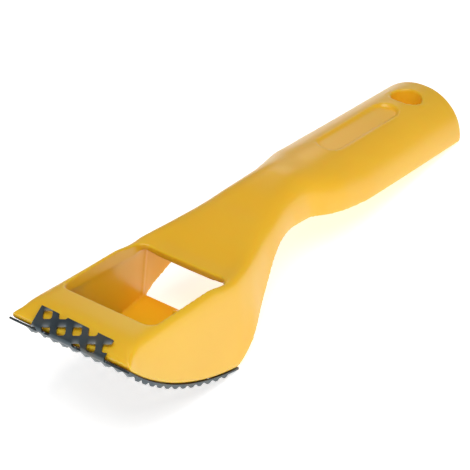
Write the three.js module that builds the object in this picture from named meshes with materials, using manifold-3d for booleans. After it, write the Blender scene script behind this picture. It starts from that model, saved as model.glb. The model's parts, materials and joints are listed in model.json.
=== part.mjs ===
// Pull shaver: a one-piece plastic body with an open head frame, a perforated toothed blade hooked
// over its front lip, and a screw, clamp plate and square nut that hold the blade's tail.
// Millimetres. +X runs from the head to the handle's end, +Y to the left side, +Z up. The tool lies on
// its blade's heel and the end of its handle. Design positions measure x from the lip's front edge.

import * as THREE from 'three';
import { mergeGeometries, mergeVertices } from 'three/addons/utils/BufferGeometryUtils.js';
import Module from 'manifold-3d';

const wasm = await Module();
wasm.setup();

// Blade
const BLADE_WIDTH = 41.3;
const BLADE_CHORD = 63;          // fold to heel, straight across the sole's arc
const SOLE_SAGITTA = 4.4;        // how far the sole bulges below that chord
const BLADE_THICKNESS = 0.6;
const TOOTH_HEIGHT = 0.8;
const TOOTH_LENGTH = 2;
const HOLE_LENGTH = 2.5;
const HOLE_WIDTH = 2.9;
const HOLE_PITCH = 4.78;
const LATTICE_TURN = THREE.MathUtils.degToRad(-22.4);
const LATTICE_ACROSS = 7.6;      // one hole's place from the middle, at the fold
const LATTICE_BACK = -1.9;       // and back from the fold's end
const BLADE_MARGIN = 0.5;        // plain steel kept along the long edges
const FRONT_TONGUE_WIDTH = 25;
const FRONT_TONGUE_LENGTH = 5.4; // beyond the fold
const FRONT_TONGUE_LIFT = THREE.MathUtils.degToRad(6);
const TAIL_WIDTH = 7.8;
const TAIL_MID = 3.4;            // from the heel bend's centre up to the screw's axis
const TAIL_TOP = 2.4;            // of the tail above the screw's axis
const HEEL_BEND = 2.4;           // outer radius

// Body
const OVERALL_LENGTH = 190.6;    // lip to the far end of the handle
const SOLE_SLOPE = THREE.MathUtils.degToRad(34.5);
const HANDLE_SLOPE = THREE.MathUtils.degToRad(11.5);  // of its lower edges
const HANDLE_TAPER = 0.018;      // height lost for each millimetre from the end towards the head
const HANDLE_STRAIGHT = 59;      // the handle's plain length, up to the neck
const HANDLE_WIDTH = 33.2;
const HANDLE_HEIGHT = 15.1;
const NECK_WIDTH = 22;
const NECK_TOP = 32.7;            // height of the top over the neck
const NOTCH_TOP = 22.4;           // height of the finger notch's roof, under the neck
const RIM_WIDTH = 36.4;          // across the window's side rims
const RIM_RISE = 5.6;            // the rims' line above the lip's edge, at the lip
const RIM_FALL = 0.176;          // drop of that line for each millimetre back
const LIP_SLOPE = THREE.MathUtils.degToRad(26);
const LIP_EDGE = 2.0;            // height of the lip's blunt front edge
const LIP_NOSE = 0.8;            // radius the blade's fold keeps round that edge
const SIDE_WALL = 2.2;
const TOP_WALL = 2.6;
const END_WALL = 2.5;
const WINDOW_FRONT = 16.4;
const WINDOW_PAST_HEEL = 1.9;    // the window's rear edge, behind the heel
const WINDOW_CORNER = 3.6;
const DISH_DEPTH = 2.8;          // of the hollow behind the window
const DISH_LEAD = 12;             // how far ahead of the window's rear edge the hollow starts
const HANG_HOLE = 10.4;          // diameter
const HANG_INSET = 12.4;         // hole centre from the handle's end
const HANG_COLLAR = 1.8;
const PANEL_LENGTH = 42;
const PANEL_WIDTH = 9;
const PANEL_DEPTH = 1;
const PANEL_INSET = 22;          // panel's end from the handle's end
const BAR_TOP = 6.6;
const BAR_FRONT = 6;             // bar's front face, ahead of the heel
const BAR_REAR = 6.6;            // its rear edge, behind the heel
const END_ROUND = 1.2;

// Fixing
const SCREW_D = 3;
const SCREW_CLEARANCE = 0.2;      // radial, in every hole it passes
const SCREW_HEAD_D = 5.5;
const SCREW_HEAD_H = 1.9;
const SCREW_SLOT = 0.8;
const NUT_SIZE = 5.5;
const NUT_THICKNESS = 1.8;
const NUT_SEAT = 2;              // plastic between the tail and the nut
const PLATE_WIDTH = 7.4;
const PLATE_LENGTH = 4.8;
const PLATE_THICKNESS = 1.2;
const FIT = 0.3;                 // gap between pieces that touch

const ROUND = 24;                // sides of a screw, hole or collar

// ---- booleans and small solids ----

function solid(geometry) {
  const bare = geometry.index ? geometry.toNonIndexed() : geometry.clone();
  for (const name of Object.keys(bare.attributes)) {
    if (name !== 'position') bare.deleteAttribute(name);
  }
  const merged = mergeVertices(bare, 1e-4);
  return new wasm.Manifold(new wasm.Mesh({
    numProp: 3,
    vertProperties: new Float32Array(merged.attributes.position.array),
    triVerts: new Uint32Array(merged.index.array),
  }));
}

function geometryOf(manifold) {
  const mesh = manifold.getMesh();
  const geometry = new THREE.BufferGeometry();
  geometry.setAttribute('position', new THREE.BufferAttribute(mesh.vertProperties, 3));
  geometry.setIndex(new THREE.BufferAttribute(mesh.triVerts, 1));
  geometry.computeVertexNormals();
  return geometry;
}

// A side outline of [x, z] points, given depth across the body and centred on y = 0.
function prism(outline, width) {
  const shape = new THREE.Shape(outline.map(([x, z]) => new THREE.Vector2(x, z)));
  const geometry = new THREE.ExtrudeGeometry(shape, { depth: width, bevelEnabled: false, curveSegments: 8 });
  return geometry.rotateX(Math.PI / 2).translate(0, width / 2, 0);
}

function box(lengthX, lengthY, lengthZ) {
  return new THREE.BoxGeometry(lengthX, lengthY, lengthZ);
}

// ---- lines of the body, as smooth curves through a few points ----

// A smooth line through [x, value] points that never overshoots them.
function through(points) {
  const slopes = points.map((_, i) => {
    if (i === 0 || i === points.length - 1) return null;
    const before = (points[i][1] - points[i - 1][1]) / (points[i][0] - points[i - 1][0]);
    const after = (points[i + 1][1] - points[i][1]) / (points[i + 1][0] - points[i][0]);
    return before * after <= 0 ? 0 : 2 * before * after / (before + after);
  });
  const last = points.length - 1;
  slopes[0] = (points[1][1] - points[0][1]) / (points[1][0] - points[0][0]);
  slopes[last] = (points[last][1] - points[last - 1][1]) / (points[last][0] - points[last - 1][0]);
  return (x) => {
    if (x <= points[0][0]) return points[0][1] + slopes[0] * (x - points[0][0]);
    if (x >= points[last][0]) return points[last][1] + slopes[last] * (x - points[last][0]);
    const i = points.findIndex((p, k) => k < last && x <= points[k + 1][0]);
    const span = points[i + 1][0] - points[i][0];
    const t = (x - points[i][0]) / span;
    const a = 2 * t ** 3 - 3 * t ** 2 + 1;
    const b = t ** 3 - 2 * t ** 2 + t;
    const c = -2 * t ** 3 + 3 * t ** 2;
    const d = t ** 3 - t ** 2;
    return a * points[i][1] + b * span * slopes[i] + c * points[i + 1][1] + d * span * slopes[i + 1];
  };
}

// The sole: an arc whose outer face is the plain blade. Along is its straight direction and into points
// from the sole into the body.
const along = new THREE.Vector2(Math.cos(SOLE_SLOPE), -Math.sin(SOLE_SLOPE));
const into = new THREE.Vector2(Math.sin(SOLE_SLOPE), Math.cos(SOLE_SLOPE));
const soleRadius = (BLADE_CHORD ** 2 / 4 + SOLE_SAGITTA ** 2) / (2 * SOLE_SAGITTA);
const soleSpan = Math.asin(BLADE_CHORD / 2 / soleRadius);
// The bend behind the heel is the lowest point, at z = 0.
const lipHeight = BLADE_CHORD * Math.sin(SOLE_SLOPE) + HEEL_BEND * (1 - Math.cos(SOLE_SLOPE - soleSpan));
const soleCentre = new THREE.Vector2(0, lipHeight)
  .addScaledVector(along, BLADE_CHORD / 2)
  .addScaledVector(into, soleRadius - SOLE_SAGITTA);

function soleNormal(angle) {
  return new THREE.Vector2().addScaledVector(into, -Math.cos(angle)).addScaledVector(along, Math.sin(angle));
}

function solePoint(angle, inset = 0) {
  return soleCentre.clone().addScaledVector(soleNormal(angle), soleRadius - inset);
}

const bodyInset = BLADE_THICKNESS + FIT;

// Height of the body's underside at x, along the sole's arc.
function soleHeight(x, inset = bodyInset) {
  const radius = soleRadius - inset;
  return soleCentre.y - Math.sqrt(radius ** 2 - (x - soleCentre.x) ** 2);
}

const heel = solePoint(soleSpan, bodyInset);
const lip = solePoint(-soleSpan, bodyInset);
const handleFoot = OVERALL_LENGTH - HANDLE_HEIGHT * Math.sin(HANDLE_SLOPE);
const handleStart = handleFoot - HANDLE_STRAIGHT;
const neck = (heel.x + handleStart) / 2 + 6;
const windowRear = heel.x + WINDOW_PAST_HEEL;

// A place between the heel and the neck, or between the neck and the handle, by its share of the way.
const arm = (share) => heel.x + (neck - heel.x) * share;
const flare = (share) => neck + (handleStart - neck) * share;

function handleBase(x) {
  return (handleFoot - x) * Math.tan(HANDLE_SLOPE);
}

function rimHeight(x) {
  return lip.y + RIM_RISE - RIM_FALL * x;
}

function handleRise(x) {
  return HANDLE_HEIGHT * Math.cos(HANDLE_SLOPE) - HANDLE_TAPER * (handleFoot - x);
}

// Lower edge of the walls, behind the heel: up over the finger notch, then down to the handle's base.
const edgeBehindHeel = through([
  [heel.x, heel.y],
  [arm(0.09), heel.y + 1.7],
  [arm(0.24), NOTCH_TOP * 0.36],
  [arm(0.49), NOTCH_TOP * 0.74],
  [arm(0.64), NOTCH_TOP * 0.94],
  [arm(0.79), NOTCH_TOP],
  [neck, NOTCH_TOP * 0.92],
  [flare(0.25), NOTCH_TOP * 0.83],
  [flare(0.63), handleBase(flare(0.63)) + 0.3],
  [handleStart, handleBase(handleStart)],
  [handleFoot, 0],
]);

function edgeHeight(x) {
  return x <= heel.x ? soleHeight(x) : edgeBehindHeel(x);
}

const edgeWidth = through([
  [0, BLADE_WIDTH / 2],
  [heel.x, BLADE_WIDTH / 2],
  [arm(0.17), BLADE_WIDTH / 2 - 0.3],
  [arm(0.37), BLADE_WIDTH / 2 - 2.9],
  [arm(0.61), BLADE_WIDTH / 2 - 5.9],
  [arm(0.79), NECK_WIDTH / 2 + 1.6],
  [neck, NECK_WIDTH / 2],
  [flare(0.22), NECK_WIDTH / 2],
  [flare(0.44), NECK_WIDTH / 2 + 2.2],
  [flare(0.84), HANDLE_WIDTH / 2 - 1],
  [handleStart + 5, HANDLE_WIDTH / 2 - 0.2],
  [handleFoot, HANDLE_WIDTH / 2 - 0.3],
]);

const shoulderWidth = through([
  [lip.x, BLADE_WIDTH / 2 - 0.4],
  [lip.x + 4, RIM_WIDTH / 2 + 0.3],
  [lip.x + 9, RIM_WIDTH / 2],
  [windowRear, RIM_WIDTH / 2],
  [arm(0.22), RIM_WIDTH / 2 - 1.2],
  [arm(0.4), RIM_WIDTH / 2 - 3],
  [arm(0.63), RIM_WIDTH / 2 - 5.9],
  [arm(0.91), NECK_WIDTH / 2 - 0.4],
  [flare(0.16), NECK_WIDTH / 2 - 0.4],
  [flare(0.37), NECK_WIDTH / 2 + 1.3],
  [flare(0.72), HANDLE_WIDTH / 2 - 0.4],
  [handleStart + 4, HANDLE_WIDTH / 2],
  [handleFoot, HANDLE_WIDTH / 2 - 0.3],
]);

const topBehindWindow = through([
  [windowRear, rimHeight(windowRear)],
  [arm(0.25), rimHeight(windowRear) - 0.2],
  [arm(0.64), NECK_TOP - 0.8],
  [arm(0.89), NECK_TOP],
  [flare(0.16), NECK_TOP - 0.4],
  [flare(0.6), handleBase(flare(0.6)) + handleRise(flare(0.6)) + 0.7],
  [handleStart, handleBase(handleStart) + handleRise(handleStart) + 0.3],
  [handleFoot, handleRise(handleFoot)],
]);

function shoulderHeight(x) {
  if (x >= windowRear) return topBehindWindow(x);
  const lipFace = lip.y + LIP_EDGE + (x - lip.x) * Math.tan(LIP_SLOPE);
  return Math.min(rimHeight(x), lipFace);
}

// Depth of the hollow in the top, which sinks in beside the window and is deepest at its rear edge.
const dish = through([
  [lip.x, 0],
  [windowRear - DISH_LEAD, 0],
  [windowRear - 2, DISH_DEPTH],
  [windowRear + 4, DISH_DEPTH],
  [windowRear + 14, DISH_DEPTH * 0.45],
  [windowRear + 27, 0],
  [handleFoot, 0],
]);

// How square the section is: 2 is an ellipse, more is nearer a box.
const squareness = through([
  [0, 14],
  [windowRear, 12],
  [windowRear + 14, 7],
  [neck, 3.4],
  [flare(0.5), 2.6],
  [handleStart, 2.2],
  [handleFoot, 2.05],
]);

// ---- the body ----

const ARCH_STEPS = 12;           // points from one lower edge to the top centre

// One closed section at x: an arch from the left lower edge to the right. Wall and roof shrink it for
// the hollow, and drop takes its base below the body's edge so that the hollow is open underneath.
function section(x, wall, roof, drop) {
  const base = edgeHeight(x) - drop;
  const power = 2 / squareness(x);
  const points = [];
  for (let i = -ARCH_STEPS; i <= ARCH_STEPS; i += 1) {
    const turn = Math.PI / 2 * (1 - Math.abs(i) / ARCH_STEPS);
    const across = Math.cos(turn) ** power;
    const up = Math.sin(turn) ** power;
    const width = edgeWidth(x) + (shoulderWidth(x) - edgeWidth(x)) * up - wall;
    const top = shoulderHeight(x) - dish(x) * (1 - across ** 6) - roof;
    points.push([Math.sign(i) * across * width, base + (top - base) * up]);
  }
  return points;
}

// How far a section tips back with its height: the handle's end is square to the handle.
const lean = through([
  [0, 0],
  [neck, 0],
  [handleStart, Math.tan(HANDLE_SLOPE)],
  [handleFoot, Math.tan(HANDLE_SLOPE)],
]);

// A solid through sections at the given stations, a station's own shrink added to both insets.
function loft(stations, wall, roof, drop) {
  const rings = stations.map(({ x, shrink = 0 }) => section(x, wall + shrink, roof + shrink, drop)
    .map(([y, z]) => new THREE.Vector3(x + lean(x) * (z - edgeHeight(x)), y, z)));
  const count = rings[0].length;
  const positions = rings.flat().flatMap((p) => [p.x, p.y, p.z]);
  const index = [];
  for (let r = 0; r < rings.length - 1; r += 1) {
    for (let i = 0; i < count; i += 1) {
      const a = r * count + i;
      const b = r * count + (i + 1) % count;
      index.push(a, b, a + count, b, b + count, a + count);
    }
  }
  for (const [ring, flip] of [[0, false], [rings.length - 1, true]]) {
    const outline = rings[ring].map((p) => new THREE.Vector2(p.y, p.z));
    const faces = THREE.ShapeUtils.triangulateShape(outline, []);
    for (const [a, b, c] of faces) {
      const corners = [a, b, c].map((k) => ring * count + k);
      index.push(...(flip ? corners.reverse() : corners));
    }
  }
  const geometry = new THREE.BufferGeometry();
  geometry.setAttribute('position', new THREE.Float32BufferAttribute(positions, 3));
  geometry.setIndex(index);
  const made = solid(geometry);
  if (made.volume() > 0) return made;
  const turned = geometry.clone();
  turned.setIndex(index.map((_, i) => index[i - i % 3 + 2 - i % 3]));
  return solid(turned);
}

function stationsBetween(from, to, step) {
  const count = Math.round((to - from) / step);
  return Array.from({ length: count + 1 }, (_, i) => ({ x: from + (to - from) * i / count }));
}

function stations(from, to) {
  return [
    ...stationsBetween(from, from + 4, 2),
    ...stationsBetween(from + 6, neck - 22, 3.2),
    ...stationsBetween(neck - 19, handleStart + 6, 3),
    ...stationsBetween(handleStart + 12, to, 11),
  ];
}

// Frame of the fixing: its origin is where the screw's axis crosses the middle of the blade's tail. Its
// x is the way the screw faces out, and its z runs up the tail.
const heelBendCentre = soleCentre.clone().addScaledVector(soleNormal(soleSpan), soleRadius - HEEL_BEND);
const foldCentre = (() => {
  const facing = new THREE.Vector2(Math.cos(LIP_SLOPE), Math.sin(LIP_SLOPE));
  const start = new THREE.Vector2(lip.x, lip.y + LIP_EDGE)
    .add(new THREE.Vector2(facing.y, -facing.x).multiplyScalar(LIP_NOSE));
  const radius = soleRadius - bodyInset - LIP_NOSE;
  const offset = start.clone().sub(soleCentre);
  const half = offset.dot(facing);
  const reach = Math.sqrt(half ** 2 - offset.lengthSq() + radius ** 2);
  return start.addScaledVector(facing, -half - reach);
})();
const foldRadius = LIP_NOSE + FIT + BLADE_THICKNESS;
const swingArm = heelBendCentre.clone().sub(foldCentre);
const tailAngle = -Math.atan2(swingArm.y, swingArm.x) - Math.asin(TAIL_MID / swingArm.length());
const tailOut = new THREE.Vector2(Math.cos(tailAngle), -Math.sin(tailAngle));
const tailUp = new THREE.Vector2(-tailOut.y, tailOut.x);
const tailOrigin = heelBendCentre.clone()
  .addScaledVector(tailOut, HEEL_BEND - BLADE_THICKNESS / 2)
  .addScaledVector(tailUp, TAIL_MID);
const seatFace = -BLADE_THICKNESS / 2 - FIT;         // bar's face behind the tail
const nutFace = seatFace - NUT_SEAT;                 // floor of the nut's pocket
const plateFace = BLADE_THICKNESS / 2 + FIT;

// Places a solid made in the fixing's frame.
function inFixing(geometry) {
  return geometry.rotateY(tailAngle).translate(tailOrigin.x, 0, tailOrigin.y);
}

// A block in the fixing's frame between two distances out, two sides and two heights.
function block(out0, out1, width, up0, up1) {
  const geometry = box(out1 - out0, width, up1 - up0);
  return inFixing(geometry.translate((out0 + out1) / 2, 0, (up0 + up1) / 2));
}

// A round bar in the fixing's frame, along the screw's axis.
function rod(radius, out0, out1) {
  const geometry = new THREE.CylinderGeometry(radius, radius, out1 - out0, ROUND).rotateZ(Math.PI / 2);
  return inFixing(geometry.translate((out0 + out1) / 2, 0, 0));
}

function shell() {
  const tail = [
    { x: handleFoot - END_ROUND * 0.3, shrink: END_ROUND * 0.3 },
    { x: handleFoot, shrink: END_ROUND },
  ];
  const outer = loft([...stations(lip.x, handleFoot - END_ROUND), ...tail], 0, 0, 0);
  const inner = loft(stations(lip.x + 7, handleFoot - END_WALL), SIDE_WALL, TOP_WALL, 1);
  return outer.subtract(inner);
}

function windowCut() {
  const length = windowRear - WINDOW_FRONT;
  const width = RIM_WIDTH - 2 * SIDE_WALL - 0.4;
  const r = WINDOW_CORNER;
  const shape = new THREE.Shape();
  shape.moveTo(r, 0).lineTo(length - r, 0).absarc(length - r, r, r, -Math.PI / 2, 0);
  shape.lineTo(length, width - r).absarc(length - r, width - r, r, 0, Math.PI / 2);
  shape.lineTo(r, width).absarc(r, width - r, r, Math.PI / 2, Math.PI);
  shape.lineTo(0, r).absarc(r, r, r, Math.PI, Math.PI * 1.5);
  const cut = { depth: lip.y, bevelEnabled: false, curveSegments: 5 };
  return new THREE.ExtrudeGeometry(shape, cut).translate(WINDOW_FRONT, -width / 2, lip.y / 2);
}

// The heel bar: a web between the walls whose underside follows the sole and then the walls' edge.
function heelBar() {
  const front = heel.x - BAR_FRONT;
  const rear = heel.x + BAR_REAR;
  const under = [0, 0.25, 0.5, 0.75, 1].map((share) => {
    const x = front + (heel.x - front) * share;
    return [x, soleHeight(x)];
  });
  const outline = [
    ...under,
    [heel.x + 4, edgeHeight(heel.x + 4)],
    [rear, edgeHeight(rear)],
    [rear - 0.7, BAR_TOP],
    [front, BAR_TOP],
  ];
  const web = solid(prism(outline, BLADE_WIDTH - SIDE_WALL));
  const boss = solid(block(nutFace - NUT_THICKNESS - FIT - 0.5, seatFace, NUT_SIZE + 3.2, -TAIL_MID, 3.6));
  const sole = [...under, [rear, heel.y], [rear, heel.y - 8], [front, heel.y - 8]];
  return web.add(boss.subtract(solid(prism(sole, BLADE_WIDTH))));
}

function fixingCuts() {
  const cuts = [
    block(seatFace, seatFace + 12, TAIL_WIDTH + 2 * FIT, -TAIL_MID * 3, 9),
    block(nutFace - 9, nutFace, NUT_SIZE + 2 * FIT, -NUT_SIZE / 2 - FIT, NUT_SIZE / 2 + FIT),
    rod(SCREW_D / 2 + SCREW_CLEARANCE, nutFace - 3, seatFace + 3),
  ];
  return cuts.map(solid).reduce((all, cut) => all.add(cut));
}

function onHandle(geometry, x) {
  const top = handleBase(x) + handleRise(x) * (1 + lean(x) * Math.tan(HANDLE_SLOPE));
  return geometry.rotateY(HANDLE_SLOPE).translate(x, 0, top);
}

function handleTopX(fromEnd) {
  return OVERALL_LENGTH - fromEnd * Math.cos(HANDLE_SLOPE);
}

function hangCollar() {
  const post = new THREE.CylinderGeometry(
    HANG_HOLE / 2 + HANG_COLLAR, HANG_HOLE / 2 + HANG_COLLAR, HANDLE_HEIGHT - 3.4, ROUND,
  ).rotateX(Math.PI / 2).translate(0, 0, -(HANDLE_HEIGHT - 3.4) / 2 - 1);
  return onHandle(post, handleTopX(HANG_INSET));
}

function hangHole() {
  const post = new THREE.CylinderGeometry(HANG_HOLE / 2, HANG_HOLE / 2, HANDLE_HEIGHT * 3, ROUND);
  return onHandle(post.rotateX(Math.PI / 2), handleTopX(HANG_INSET));
}

function labelPanel() {
  const r = PANEL_WIDTH / 2;
  const shape = new THREE.Shape();
  shape.absarc(PANEL_LENGTH / 2 - r, 0, r, -Math.PI / 2, Math.PI / 2);
  shape.absarc(r - PANEL_LENGTH / 2, 0, r, Math.PI / 2, Math.PI * 1.5);
  const geometry = new THREE.ExtrudeGeometry(shape, { depth: 5, bevelEnabled: false, curveSegments: 6 });
  return onHandle(geometry.translate(0, 0, -PANEL_DEPTH), handleTopX(PANEL_INSET + PANEL_LENGTH / 2));
}

function body() {
  return shell()
    .subtract(solid(windowCut()))
    .add(heelBar())
    .subtract(fixingCuts())
    .add(solid(hangCollar()))
    .subtract(solid(hangHole()))
    .subtract(solid(labelPanel()));
}

// ---- the blade ----

const foldStart = Math.atan2(-(foldCentre.y - soleCentre.y), -(foldCentre.x - soleCentre.x)) + Math.PI;
const foldEnd = Math.PI / 2 + LIP_SLOPE + FRONT_TONGUE_LIFT;
const startAngle = -soleNormal(0).angleTo(foldCentre.clone().sub(soleCentre));
const soleLength = (soleSpan - startAngle) * soleRadius;
const foldTurn = ((foldStart - foldEnd) % (2 * Math.PI) + 2 * Math.PI) % (2 * Math.PI);
const foldLength = foldTurn * foldRadius;

// Point, outward normal and forward tangent on the strip's outer face, s millimetres back from the end
// of the fold; negative s runs round the fold and up the front tongue.
function onStrip(s) {
  if (s >= 0) {
    const angle = startAngle + s / soleRadius;
    return { point: solePoint(angle), normal: soleNormal(angle) };
  }
  const turn = Math.min(-s, foldLength) / foldRadius;
  const angle = foldStart - turn;
  const normal = new THREE.Vector2(Math.cos(angle), Math.sin(angle));
  const point = foldCentre.clone().addScaledVector(normal, foldRadius);
  const beyond = Math.max(-s - foldLength, 0);
  point.add(new THREE.Vector2(normal.y, -normal.x).multiplyScalar(beyond));
  return { point, normal };
}

// The strip between two distances along it, as a solid of the given width.
function strip(from, to, step, width) {
  const count = Math.max(1, Math.ceil((to - from) / step));
  const outer = [];
  const inner = [];
  for (let i = 0; i <= count; i += 1) {
    const { point, normal } = onStrip(from + (to - from) * i / count);
    outer.push([point.x, point.y]);
    inner.push([point.x - normal.x * BLADE_THICKNESS, point.y - normal.y * BLADE_THICKNESS]);
  }
  return solid(prism([...outer, ...inner.reverse()], width));
}

// The heel bend and the forked tail that stands behind the bar.
function tail() {
  const from = Math.atan2(soleNormal(soleSpan).y, soleNormal(soleSpan).x);
  const to = -tailAngle;
  const outer = [];
  const inner = [];
  const spot = (angle, radius, up = 0) => {
    const p = heelBendCentre.clone()
      .add(new THREE.Vector2(Math.cos(angle), Math.sin(angle)).multiplyScalar(radius))
      .addScaledVector(tailUp, up);
    return [p.x, p.y];
  };
  const lead = new THREE.Vector2(-Math.sin(from), Math.cos(from));
  for (const [list, radius] of [[outer, HEEL_BEND], [inner, HEEL_BEND - BLADE_THICKNESS]]) {
    const [x, z] = spot(from, radius);
    list.push([x - lead.x * 0.8, z - lead.y * 0.8]);
    for (let i = 0; i <= 6; i += 1) list.push(spot(from + (to - from) * i / 6, radius));
    list.push(spot(to, radius, TAIL_MID + TAIL_TOP));
  }
  const stem = solid(prism([...outer, ...inner.reverse()], TAIL_WIDTH));
  const slot = SCREW_D / 2 + 2 * SCREW_CLEARANCE;
  return stem
    .subtract(solid(block(-2, 2, 2 * slot, 0, TAIL_TOP + 2)))
    .subtract(solid(rod(slot, -2, 2)));
}

// A piece shaped in the strip's own plane: corners are [along, across, out] about the spot at s, y. That
// frame is left-handed, so each face is turned round.
function onStripSolid(corners, faces, s, y) {
  const { point, normal } = onStrip(s);
  const forward = new THREE.Vector2(-normal.y, normal.x);
  const positions = corners.flatMap(([a, b, out]) => {
    const turnedA = a * Math.cos(LATTICE_TURN) - b * Math.sin(LATTICE_TURN);
    const turnedB = a * Math.sin(LATTICE_TURN) + b * Math.cos(LATTICE_TURN);
    const x = point.x + forward.x * turnedA + normal.x * out;
    const z = point.y + forward.y * turnedA + normal.y * out;
    return [x, y + turnedB, z];
  });
  const geometry = new THREE.BufferGeometry();
  geometry.setAttribute('position', new THREE.Float32BufferAttribute(positions, 3));
  geometry.setIndex(faces.flatMap(([a, b, c]) => [a, c, b]));
  return geometry;
}

const HOLE_FACES = [
  [0, 2, 1], [0, 3, 2], [0, 4, 3], [0, 5, 4],
  [6, 7, 8], [6, 8, 9], [6, 9, 10], [6, 10, 11],
  ...[0, 1, 2, 3, 4, 5].flatMap((i) => {
    const j = (i + 1) % 6;
    return [[i, j, j + 6], [i, j + 6, i + 6]];
  }),
];

// A hole: straight at its cutting edge, pointed where the tooth was drawn from.
function holeCutter(s, y) {
  const a = HOLE_LENGTH / 2;
  const b = HOLE_WIDTH / 2;
  const outline = [[-a, -b], [a * 0.3, -b], [a, -b * 0.45], [a, b * 0.45], [a * 0.3, b], [-a, b]];
  const depth = BLADE_THICKNESS * 1.8;
  const corners = [-depth, depth].flatMap((out) => outline.map(([p, q]) => [p, q, out]));
  return onStripSolid(corners, HOLE_FACES, s, y);
}

// A tooth: a ramp up to the hole's front edge, so that it cuts when the tool is pulled.
function tooth(s, y) {
  const edge = -HOLE_LENGTH / 2;
  const b = HOLE_WIDTH / 2;
  const root = -BLADE_THICKNESS / 3;
  const corners = [
    [edge - TOOTH_LENGTH, -b * 0.5, root], [edge - TOOTH_LENGTH, b * 0.5, root],
    [edge, -b, root], [edge, b, root],
    [edge, -b * 0.6, TOOTH_HEIGHT], [edge, b * 0.6, TOOTH_HEIGHT],
  ];
  const faces = [[0, 1, 3], [0, 3, 2], [0, 4, 5], [0, 5, 1], [2, 3, 5], [2, 5, 4], [0, 2, 4], [1, 5, 3]];
  return onStripSolid(corners, faces, s, y);
}

// Lattice spots whose hole stays inside the strip's edges.
function lattice(from, to, width) {
  const spots = [];
  const reach = Math.ceil((soleLength + BLADE_WIDTH) / HOLE_PITCH);
  const keep = width / 2 - BLADE_MARGIN - HOLE_WIDTH / 2;
  for (let i = -reach; i <= reach; i += 1) {
    for (let j = -reach; j <= reach; j += 1) {
      const s = LATTICE_BACK + HOLE_PITCH * (i * Math.cos(LATTICE_TURN) - j * Math.sin(LATTICE_TURN));
      const y = LATTICE_ACROSS + HOLE_PITCH * (i * Math.sin(LATTICE_TURN) + j * Math.cos(LATTICE_TURN));
      if (s >= from && s <= to && Math.abs(y) <= keep) spots.push([s, y]);
    }
  }
  return spots;
}

function blade() {
  const sole = strip(0, soleLength, 2.6, BLADE_WIDTH);
  const front = strip(-foldLength - FRONT_TONGUE_LENGTH, 1, 0.9, FRONT_TONGUE_WIDTH);
  const soleSpots = lattice(HOLE_LENGTH + TOOTH_LENGTH, soleLength - HOLE_LENGTH, BLADE_WIDTH);
  const tongueSpots = lattice(-foldLength - FRONT_TONGUE_LENGTH + HOLE_LENGTH, 0, FRONT_TONGUE_WIDTH);
  const teeth = solid(mergeGeometries(soleSpots.map(([s, y]) => tooth(s, y))));
  const holes = solid(mergeGeometries([...soleSpots, ...tongueSpots].map(([s, y]) => holeCutter(s, y))));
  return sole.add(front).add(tail()).add(teeth).subtract(holes);
}

// ---- the fixing ----

function clampPlate() {
  const half = PLATE_LENGTH / 2;
  const plate = solid(block(plateFace, plateFace + PLATE_THICKNESS, PLATE_WIDTH, -half, half));
  return plate.subtract(solid(rod(SCREW_D / 2 + SCREW_CLEARANCE, plateFace - 2, plateFace + 4)));
}

function clampScrew() {
  const under = plateFace + PLATE_THICKNESS + FIT;
  const tip = nutFace - NUT_THICKNESS - FIT - 1.2;
  const bevel = 0.35;
  const radius = SCREW_HEAD_D / 2;
  const profile = [
    [0, tip], [SCREW_D / 2 - 0.4, tip], [SCREW_D / 2, tip + 0.5], [SCREW_D / 2, under], [radius, under],
    [radius, under + SCREW_HEAD_H - bevel * 2], [radius - bevel, under + SCREW_HEAD_H - bevel * 0.6],
    [radius - bevel * 3, under + SCREW_HEAD_H], [0, under + SCREW_HEAD_H],
  ].map(([r, out]) => new THREE.Vector2(r, out));
  const turned = new THREE.LatheGeometry(profile, ROUND).rotateZ(-Math.PI / 2);
  const slot = SCREW_HEAD_H * 0.55;
  const top = under + SCREW_HEAD_H;
  return solid(inFixing(turned))
    .subtract(solid(block(top - slot, top + 1, SCREW_SLOT, -radius * 0.62, radius * 0.62)))
    .subtract(solid(block(top - slot, top + 1, 2 * radius * 0.62, -SCREW_SLOT / 2, SCREW_SLOT / 2)));
}

function clampNut() {
  const front = nutFace - FIT;
  const nut = solid(block(front - NUT_THICKNESS, front, NUT_SIZE, -NUT_SIZE / 2, NUT_SIZE / 2));
  return nut.subtract(solid(rod(SCREW_D / 2 + SCREW_CLEARANCE, front - 4, front + 2)));
}

// ---- the assembly ----

const yellowPlastic = { color: 0xf2b21c, roughness: 0.28, metalness: 0 };
const blackenedSteel = { color: 0x39444c, roughness: 0.42, metalness: 0.85 };
const platedSteel = { color: 0xb9bcc0, roughness: 0.35, metalness: 0.9 };

function piece(name, made, finish) {
  const mesh = new THREE.Mesh(geometryOf(made), new THREE.MeshStandardMaterial(finish));
  mesh.name = name;
  return mesh;
}

const tool = new THREE.Group();
tool.add(piece('body', body(), yellowPlastic));
tool.add(piece('rasp_blade', blade(), blackenedSteel));
tool.add(piece('clamp_plate', clampPlate(), platedSteel));
tool.add(piece('clamp_screw', clampScrew(), platedSteel));
tool.add(piece('clamp_nut', clampNut(), platedSteel));

// The origin is under the middle of the tool, on the surface that it lies on.
const bounds = new THREE.Box3().setFromObject(tool);
tool.position.set(-(bounds.min.x + bounds.max.x) / 2, 0, -bounds.min.z);

export default tool;
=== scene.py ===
"""Visual model of a pull shaver: a moulded yellow plastic body, a perforated toothed blade hooked over
its lip, and the screw, clamp plate and square nut that hold the blade's tail.

Design positions are in millimetres and measure x from the front of the sole's arc, as the design does.
The frame gives the place of that origin, of the fixing and of the floor. Everything is made in metres.
"""

import json
import math

import bmesh
import bpy
import numpy as np
from mathutils import Matrix, Vector


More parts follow.
